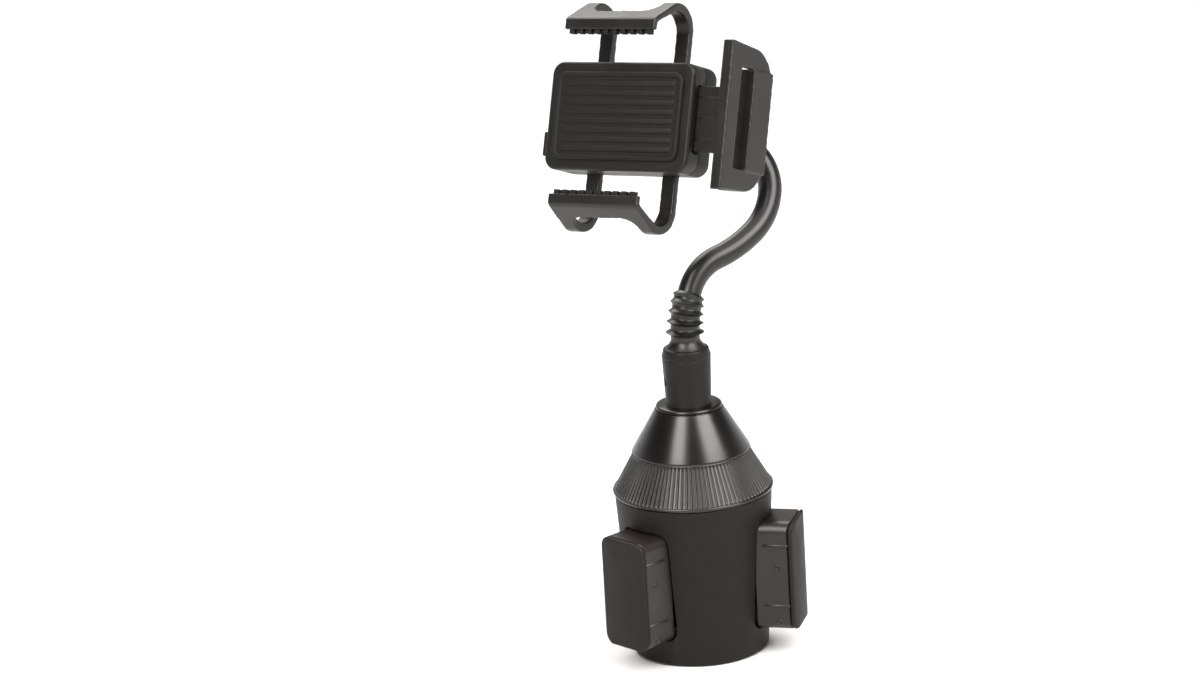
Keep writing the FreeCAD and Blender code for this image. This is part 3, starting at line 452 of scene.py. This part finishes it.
def ring_skin():
    """Conical ring with 96 real ribs between two plain rims."""
    low_r, high_r, low_z, high_z = 31.7, 22.9, 66.0, 81.7
    ribs, per_rib = 96, 10
    depth = 0.5
    corners = [(27.0, low_z), (low_r, low_z), (high_r, high_z), (high_r - 2.2, high_z)]
    outer = rounded(corners, [0, 0.55, 0.4, 0])
    slope = (low_r - high_r) / (high_z - low_z)
    ends = [outer.index(point) for point in outer if point.y > low_z + 0.3 and point.y < high_z - 0.3]
    start, stop = outer[ends[0]], outer[ends[-1]]
    start_z, stop_z = low_z + 1.2, high_z - 0.5
    ramp = [0.0, 0.02, 0.05, 0.35, 0.65, 0.94, 0.98, 1.0]
    belt = []
    for share in ramp:
        z = start_z + (stop_z - start_z) * share
        belt.append((Vector((low_r - slope * (z - low_z), z)), 0.0 if share in (0.0, 1.0) else 1.0))
    below = [(point, 0.0) for point in outer if point.y < start_z - 0.05]
    above = [(point, 0.0) for point in outer if point.y > stop_z + 0.05]
    inner = [(Vector((high_r - 2.6, high_z - 1.0)), 0.0), (Vector((low_r - 4.2, low_z + 3.0)), 0.0)]
    profile = below + belt + above + inner
    columns = ribs * per_rib
    rows = len(profile)
    normal = Vector((1.0, slope)).normalized()
    vertices, faces = [], []
    for column in range(columns):
        angle = 2 * math.pi * column / columns
        phase = (column % per_rib) / per_rib
        groove = max(0.0, math.cos(2 * math.pi * phase)) ** 0.7
        for point, share in profile:
            spot = point - normal * depth * groove * share
            vertices.append(Vector((spot.x * math.cos(angle), spot.x * math.sin(angle), spot.y)) * MM)
    for column in range(columns):
        after = (column + 1) % columns
        for row in range(rows):
            above_row = (row + 1) % rows
            faces.append((column * rows + row, after * rows + row, after * rows + above_row,
                          column * rows + above_row))
    return piece("ring_ribbed", vertices, faces, "ring", "ring_plastic", ("knurled_ring",), sharp_deg=65.0)


def cone_skin():
    """Smooth cone with a rolled lip at its top."""
    low_r, high_r, low_z, high_z = 22.9, 12.2, 82.0, 100.4
    slope = (low_r - high_r) / (high_z - low_z)
    points = [(low_r - 2.4, low_z), (low_r, low_z), (high_r + slope * 1.6, high_z - 1.6),
              (high_r + 0.35, high_z - 1.15), (high_r + 0.35, high_z), (5.6, high_z), (5.6, 95.0),
              (9.0, 95.0)]
    radii = [0, 0.35, 0.5, 0.2, 0.45, 0.2, 0, 0]
    return turned("cone_shell", rounded(points, radii), "base", "cone_plastic", ("cone_cap",))


def collar_skin():
    """Collar with a groove and a rolled mouth, drilled for the set screw."""
    radius, low_z, high_z = 8.85, 100.4, 123.7
    points = [(5.4, low_z), (radius - 0.25, low_z), (radius, low_z + 0.4), (radius, high_z - 4.1),
              (radius - 0.6, high_z - 3.9), (radius - 0.6, high_z - 3.5), (radius + 0.1, high_z - 3.3),
              (radius + 0.1, high_z), (4.8, high_z), (4.8, 101.0), (5.4, 101.0)]
    radii = [0, 0.1, 0, 0.25, 0.1, 0.1, 0.25, 0.9, 0.3, 0, 0]
    obj = turned("collar_shell", rounded(points, radii), None, "collar_plastic")
    screw_low, screw_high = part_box("collar_set_screw")
    middle = (screw_low + screw_high) / 2
    outward = Vector((middle.x, middle.y, 0.0)).normalized()
    drill = bpy.data.meshes.new("drill")
    work = bmesh.new()
    drill_r, drill_depth = 2.05 * MM, 9 * MM
    bmesh.ops.create_cone(work, cap_ends=True, segments=48, radius1=drill_r, radius2=drill_r, depth=drill_depth)
    work.to_mesh(drill)
    work.free()
    cutter = bpy.data.objects.new("drill", drill)
    bpy.context.scene.collection.objects.link(cutter)
    turn = outward.to_track_quat("Z", "Y").to_matrix().to_4x4()
    cutter.matrix_world = Matrix.Translation(Vector((0, 0, middle.z)) + outward * 9.6 * MM) @ turn
    bpy.context.view_layer.update()
    cut(obj, cutter)
    round_edges(obj, 0.15, 55.0, segments=2)
    finish_piece(obj, "base", "collar_plastic", ("collar",), sharp_deg=45.0)
    return obj


# ---------------------------------------------------------------- pads
def pad_face(number, turn):
    """Curved rubber face plate with rounded edges, parted from the block by a fine groove."""
    front = lambda across: math.sqrt(PAD_OUTER_R ** 2 - across ** 2)
    back = lambda across: math.sqrt((PAD_OUTER_R - PAD_RUBBER) ** 2 - across ** 2) + 0.05
    groove, edge, steps = 0.5, 0.8, 5
    rings = [pad_ring(4.0, back, turn), pad_ring(groove, back, turn),
             pad_ring(0.0, lambda across: back(across) + groove, turn)]
    for step in range(steps + 1):
        angle = math.pi / 2 * step / steps
        rings.append(pad_ring(edge * (1 - math.cos(angle)),
                              lambda across, a=angle: front(across) - edge * (1 - math.sin(a)), turn))
    for inset in (2.0, 4.0, 6.0, 8.0, 9.5, 10.8):
        rings.append(pad_ring(inset, front, turn))
    piece("pad_face_%d" % number, *loft(rings), "pad_%d" % number, "pad_rubber", ("pad_rubber_%d" % number,))


def pad_detail(turn, side):
    """Two thin ridges and two round ejector marks on one side of a pad's block."""
    wall = side * PAD_WIDTH / 2
    parts = []
    for z in (21.4, 46.4):
        rings = []
        for x, scale in ((29.6, 0.3), (30.0, 1.0), (39.4, 1.0), (39.9, 0.3)):
            height, half = 0.45 * scale, 0.65 * scale
            rings.append([turn @ (Vector(p) * MM) for p in (
                (x, wall - side * 0.1, z - half), (x, wall + side * height * 0.7, z - half * 0.6),
                (x, wall + side * height, z), (x, wall + side * height * 0.7, z + half * 0.6),
                (x, wall - side * 0.1, z + half))])
        parts.append(loft(rings))
    for z in (14.6, 37.2):
        rings = []
        for radius, height in EJECTOR_RINGS:
            ring = []
            for step in range(24):
                angle = 2 * math.pi * step / 24
                ring.append(turn @ (Vector((35.5 + radius * math.cos(angle), wall + side * height,
                                            z + radius * math.sin(angle))) * MM))
            rings.append(ring)
        parts.append(loft(rings))
    return parts


def pad_body(number, turn):
    """Block behind the rubber face, with the ridges and marks of its mould."""
    part_line = lambda across: math.sqrt((PAD_OUTER_R - PAD_RUBBER) ** 2 - across ** 2)
    rings = [pad_ring(0.6, lambda across: PAD_INNER_X, turn)]
    for x in (PAD_INNER_X + 0.6, 30.0, 34.0):
        rings.append(pad_ring(0.0, lambda across, x=x: x, turn))
    rings.append(pad_ring(0.0, lambda across: part_line(across) - 0.5, turn))
    for inset in (0.7, 3.0, 6.0, 9.0):
        rings.append(pad_ring(inset, part_line, turn))
    parts = [loft(rings)] + pad_detail(turn, 1) + pad_detail(turn, -1)
    piece("pad_body_%d" % number, *merged(parts), "pad_%d" % number, "pad_plastic",
          ("pad_block_%d" % number,))


# ---------------------------------------------------------------- gooseneck
SKIN_R = 4.7
STEM = 17.0
LINK_LENGTH = 18.1
FERRULE = 6.5
LINKS = 7


def neck_path():
    """Link origins and tangents; each link is an arc that starts along the one before."""
    ball = joint_point("ball_swivel")
    origins = [joint_point("neck_bend_%d" % link) for link in range(1, LINKS + 1)]
    tangents = [UP.copy()]
    for first, last in zip(origins, origins[1:]):
        chord = (last - first).normalized()
        tangents.append((2 * tangents[-1].dot(chord) * chord - tangents[-1]).normalized())
    start = tangents[-1]
    reach = ball - origins[-1]
    side = (reach - start * reach.dot(start)).normalized()
    aim = start.angle(reach)
    low, high = 0.001, 2.0
    for _ in range(50):
        bend = (low + high) / 2
        along = LINK_LENGTH * math.sin(bend) / bend + STEM * math.cos(bend)
        aside = LINK_LENGTH * (1 - math.cos(bend)) / bend + STEM * math.sin(bend)
        low, high = (low, bend) if math.atan2(aside, along) > aim else (bend, high)
    end_tangent = start * math.cos(bend) + side * math.sin(bend)
    return origins + [ball - end_tangent * STEM * MM], tangents + [end_tangent]


NECK_POINTS, NECK_TANGENTS = neck_path()


def on_neck(link, share):
    """Point and tangent at a share of one link's arc."""
    first, last = NECK_POINTS[link], NECK_POINTS[link + 1]
    start = NECK_TANGENTS[link]
    chord = last - first
    half = start.angle(chord)
    if half < 1e-5:
        return first + chord * share, start
    side = (chord - start * chord.dot(start)).normalized()
    radius = chord.length / (2 * math.sin(half))
    swing = 2 * half * share
    point = first + start * (radius * math.sin(swing)) + side * (radius * (1 - math.cos(swing)))
    return point, (start * math.cos(swing) + side * math.sin(swing)).normalized()


def swept(name, stations, body, slot, nodes=(), columns=64):
    """Tube through (point, tangent, radius in mm) stations, turned as little as possible."""
    across = stations[0][1].orthogonal().normalized()
    vertices, faces = [], []
    for point, tangent, radius in stations:
        across = (across - tangent * across.dot(tangent)).normalized()
        side = tangent.cross(across)
        for column in range(columns):
            angle = 2 * math.pi * column / columns
            vertices.append(point + (across * math.cos(angle) + side * math.sin(angle)) * radius * MM)
    for row in range(len(stations) - 1):
        for column in range(columns):
            after = (column + 1) % columns
            faces.append((row * columns + column, row * columns + after,
                          (row + 1) * columns + after, (row + 1) * columns + column))
    return piece(name, vertices, faces, body, slot, nodes)


def neck_skins():
    """Smooth skin in lengths from mid-link to mid-link, each bending over one hinge."""
    steps = 12
    for link in range(LINKS):
        stations = []
        for step in range(steps + 1):
            stations.append((*on_neck(link, 0.5 + 0.5 * step / steps), SKIN_R))
        own = "neck_sleeve_%d" % (link + 1)
        if link == LINKS - 1:
            swept("neck_skin_%d" % (link + 1), stations, "neck_%d" % (link + 1), "sleeve", (own,))
            continue
        for step in range(1, steps + 1):
            stations.append((*on_neck(link + 1, 0.5 * step / steps), SKIN_R))
        skin = swept("neck_skin_%d" % (link + 1), stations, None, "sleeve")
        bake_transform(skin)
        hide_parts(own)


def boot_radius(height):
    """Boot's outer radius at a height in mm above the collar: flared foot, thin fins, cuff."""
    tube_r, fin_r, foot = 5.75, 7.8, 4.3
    radius = tube_r
    if height < 3.4:
        radius = max(radius, tube_r + 2.3 * (1 - height / 3.4) ** 1.6)
    for place in (1.9, 5.8, 9.5, 13.0, 16.2):
        off = abs(height - foot - place)
        tip = fin_r - 0.07 * place
        radius = max(radius, tube_r + (tip - tube_r) * max(0.0, 1 - off / 1.25) ** 1.35)
    top = foot + 17.0
    if height > top - 1.0:
        radius = min(radius, 5.1 + 1.2 * (top - height))
    return max(radius, 5.02)


def boot_skin():
    """Bellows boot: five fins on a thin tube, flared onto the collar's mouth."""
    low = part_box("boot_foot")[0].z
    hinge = NECK_POINTS[0]
    straight = (hinge.z - low) / MM
    total = straight + 17.0
    steps = 150
    stations = []
    for step in range(steps + 1):
        height = total * step / steps
        if height < straight:
            point, tangent = Vector((0, 0, low + height * MM)), UP
        else:
            point, tangent = on_neck(0, (height - straight) / 18.1)
        stations.append((point, tangent, boot_radius(height)))
    boot = swept("boot_bellows", stations, None, "boot_rubber", columns=72)
    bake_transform(boot)
    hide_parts("boot_foot", "neck_boot")
    return boot


def along_neck_end():
    """Frame at the neck's end, Z along the stem."""
    turn = NECK_TANGENTS[-1].to_track_quat("Z", "Y").to_matrix().to_4x4()
    return Matrix.Translation(NECK_POINTS[-1]) @ turn


def neck_end():
    """Crimped ferrule and the ball on its stem."""
    place = along_neck_end()
    points = [(0.02, 0.0), (4.95, 0.0), (5.4, 0.5), (5.4, 1.6), (5.1, 1.9), (5.1, 2.4), (5.4, 2.7),
              (5.4, 4.6), (4.4, FERRULE), (0.02, FERRULE)]
    radii = [0, 0.2, 0.3, 0.12, 0.12, 0.12, 0.12, 0.5, 0.5, 0]
    turned("ferrule_look", rounded(points, radii), "neck_7", "collar_plastic", ("neck_ferrule",),
           columns=96, place=place)
    ball_r, stem_r = 6.0, 3.0
    outline = [Vector((0.02, FERRULE)), Vector((stem_r, FERRULE))]
    neck_angle = math.asin(stem_r / ball_r)
    for step in range(33):
        angle = neck_angle + (math.pi - neck_angle) * step / 32
        outline.append(Vector((max(0.02, ball_r * math.sin(angle)), STEM - ball_r * math.cos(angle))))
    turned("ball_look", outline, "neck_7", "ball_steel", ("ball_stud",), columns=96, place=place)


# ---------------------------------------------------------------- cradle
SOFTENED = {
    "base_floor": 0.3, "floor_screws": 0.12, "collar_set_screw": 0.12,
    "lock_nut": 0.2, "ball_socket": 0.25, "front_shell": 0.3, "back_shell": 0.3, "shell_screws": 0.1,
    "grip_top": 0.25, "grip_bottom": 0.25, "foot_grip": 0.25, "release_button": 0.3,
}
WORN_ROUND = {"jaw_top": 6, "jaw_bottom": 6, "foot_bracket": 3}


def worn_round(node, passes, cell_mm=0.35):
    """A copy of a frame node as an even fine mesh, smoothed until its edges are round."""
    source = frame["nodes"][node]
    obj = bpy.data.objects.new(node + "_look", source.data.copy())
    bpy.context.scene.collection.objects.link(obj)
    grid = obj.modifiers.new("even_mesh", "REMESH")
    grid.mode = "VOXEL"
    grid.voxel_size = cell_mm * MM
    ease = obj.modifiers.new("ease", "SMOOTH")
    ease.factor = 0.5
    ease.iterations = passes
    thin = obj.modifiers.new("thin", "DECIMATE")
    thin.ratio = 0.35
    apply_modifiers(obj)
    finish_piece(obj, source["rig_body"], SLOT_OF[node], (node,), sharp_deg=60.0)
    return obj


def cradle_frame():
    """Cradle's own frame: ball centre, X along the phone, Y backwards, Z across the phone."""
    axes = (joint_axis("ball_tilt"), joint_axis("cradle_turn"), joint_axis("ball_swivel"))
    return Matrix.Translation(joint_point("ball_swivel")) @ Matrix(axes).transposed().to_4x4()


def front_sheet():
    """Ribbed soft sheet that the phone's back rests on: a framed slab with crowned ribs."""
    place = cradle_frame()
    half_x, half_z, corner = 29.0, 17.0, 4.0
    back_y, rest_y = -26.4, -28.0

    def ring(inset, y):
        radius = max(corner - inset, 0.5)
        outline = rounded_rect(half_x - inset, half_z - inset, radius)
        return [place @ (Vector((x, y, z)) * MM) for x, z in outline]

    rings = [ring(0.0, back_y), ring(0.0, rest_y + 0.5), ring(0.12, rest_y + 0.2), ring(0.4, rest_y),
             ring(1.4, rest_y), ring(1.75, rest_y + 0.15), ring(2.0, rest_y + 0.65), ring(8.0, rest_y + 0.65)]
    parts = [loft(rings)]
    ribs, pitch, crown = 8, 3.6, 6
    for rib in range(ribs):
        z = (rib - (ribs - 1) / 2) * pitch
        rings = []
        for x, scale in ((-25.6, 0.25), (-25.2, 0.75), (-24.6, 1.0), (24.6, 1.0), (25.2, 0.75), (25.6, 0.25)):
            section = []
            for step in range(crown + 1):
                angle = math.pi * step / crown
                section.append(Vector((x, rest_y + 0.7 - 0.68 * scale * math.sin(angle) ** 0.6,
                                       z + 1.25 * math.cos(angle) * (0.6 + 0.4 * scale))))
            rings.append([place @ (point * MM) for point in section])
        parts.append(loft(rings))
    sheet = piece("front_sheet", *merged(parts), "cradle", "grip_rubber", ("front_pad",), sharp_deg=50.0)


def paint_frame_nodes():
    """Every frame node that stays gets its slot's procedural material."""
    for node, obj in frame["nodes"].items():
        if not obj.hide_render:
            obj.data.materials.clear()
            obj.data.materials.append(MATERIALS[SLOT_OF[node]])


# ---------------------------------------------------------------- stage, light and camera
def camera():
    """Long lens, a little above, turned and slightly rolled."""
    azimuth, elevation, roll = math.radians(36.77), math.radians(16.3), math.radians(3.38)
    back = Vector((math.sin(azimuth) * math.cos(elevation), -math.cos(azimuth) * math.cos(elevation),
                   math.sin(elevation)))
    level = Vector((math.cos(azimuth), math.sin(azimuth), 0.0))
    above = back.cross(level)
    right = level * math.cos(roll) - above * math.sin(roll)
    up = level * math.sin(roll) + above * math.cos(roll)
    data = bpy.data.cameras.new("camera")
    data.lens = 120.0
    data.sensor_width = 36.0
    data.clip_start = 0.05
    obj = bpy.data.objects.new("camera", data)
    bpy.context.scene.collection.objects.link(obj)
    turn = Matrix((right, up, back)).transposed().to_4x4()
    obj.matrix_world = Matrix.Translation(Vector((0.8717, -1.2221, 0.5684))) @ turn
    bpy.context.scene.camera = obj


def floor():
    """Plain pale floor."""
    size = 0.75
    mesh = bpy.data.meshes.new("floor")
    corners = [(-size, -size, 0), (size, -size, 0), (size, size, 0), (-size, size, 0)]
    mesh.from_pydata(corners, [], [(0, 1, 2, 3)])
    obj = bpy.data.objects.new("floor", mesh)
    bpy.context.scene.collection.objects.link(obj)
    nodes = Nodes("floor_paper")
    tone = nodes.mixed(nodes.noise(0.4, detail=2.0), (0.68, 0.68, 0.68), (0.71, 0.71, 0.71))
    nodes.link(tone, nodes.shader.inputs["Base Color"])
    nodes.shader.inputs["Roughness"].default_value = 0.9
    mesh.materials.append(nodes.material)


def around(azimuth_deg, elevation_deg, distance):
    """A place round the object: azimuth 0 is in front (-Y), 90 is +X."""
    azimuth, elevation = math.radians(azimuth_deg), math.radians(elevation_deg)
    return MIDDLE + Vector((math.sin(azimuth) * math.cos(elevation), -math.cos(azimuth) * math.cos(elevation),
                            math.sin(elevation))) * distance


def softbox(name, azimuth_deg, elevation_deg, width, height, radiance, colour=(1.0, 0.95, 0.91)):
    """Large soft light that faces the object; its power follows from its area and radiance."""
    data = bpy.data.lights.new(name, "AREA")
    data.shape = "RECTANGLE"
    data.size, data.size_y = width, height
    data.energy = radiance * math.pi * width * height
    data.color = colour
    obj = bpy.data.objects.new(name, data)
    bpy.context.scene.collection.objects.link(obj)
    obj.location = around(azimuth_deg, elevation_deg, 1.3)
    obj.rotation_mode = "QUATERNION"
    obj.rotation_quaternion = (MIDDLE - obj.location).to_track_quat("-Z", "Y")
    obj.visible_camera = False


def lights():
    """Two front softboxes with a dark gap between them, a back one, and a studio surround."""
    softbox("softbox_left", 5.0, 42.0, 0.56, 0.9, 12.0)
    softbox("softbox_right", 88.0, 40.0, 0.85, 0.9, 11.0)
    softbox("softbox_back", 235.0, 45.0, 0.9, 0.8, 5.0)
    world = bpy.data.worlds.new("studio")
    bpy.context.scene.world = world
    world.use_nodes = True
    tree = world.node_tree
    direction = tree.nodes.new("ShaderNodeTexCoord").outputs["Generated"]
    split = tree.nodes.new("ShaderNodeSeparateXYZ")
    tree.links.new(direction, split.inputs["Vector"])
    height = tree.nodes.new("ShaderNodeMapRange")
    height.inputs["From Min"].default_value = -1.0
    tree.links.new(split.outputs["Z"], height.inputs["Value"])
    ramp = tree.nodes.new("ShaderNodeValToRGB")
    tree.links.new(height.outputs["Result"], ramp.inputs["Fac"])
    stops = ((0.0, 0.55), (0.55, 0.55), (0.62, 0.05), (0.88, 0.05), (0.96, 1.0))
    band = ramp.color_ramp.elements
    while len(band) < len(stops):
        band.new(0.5)
    for element, (place, level) in zip(band, stops):
        element.position = place
        element.color = (level, level, level, 1.0)
    background = tree.nodes["Background"]
    tree.links.new(ramp.outputs["Color"], background.inputs["Color"])
    background.inputs["Strength"].default_value = 2.0
    bpy.context.scene.view_settings.view_transform = "Standard"


# ---------------------------------------------------------------- build
camera()
floor()
lights()
cup_skin()
ring_skin()
cone_skin()
collar_skin()
for pad_number, pad_angle in enumerate(PAD_ANGLES, start=1):
    pad_turn = Matrix.Rotation(pad_angle, 4, "Z")
    pad_face(pad_number, pad_turn)
    pad_body(pad_number, pad_turn)
neck_skins()
boot_skin()
neck_end()
front_sheet()
for node_name, smooth_passes in WORN_ROUND.items():
    worn_round(node_name, smooth_passes)
for node_name, edge in SOFTENED.items():
    softened(node_name, edge)
paint_frame_nodes()
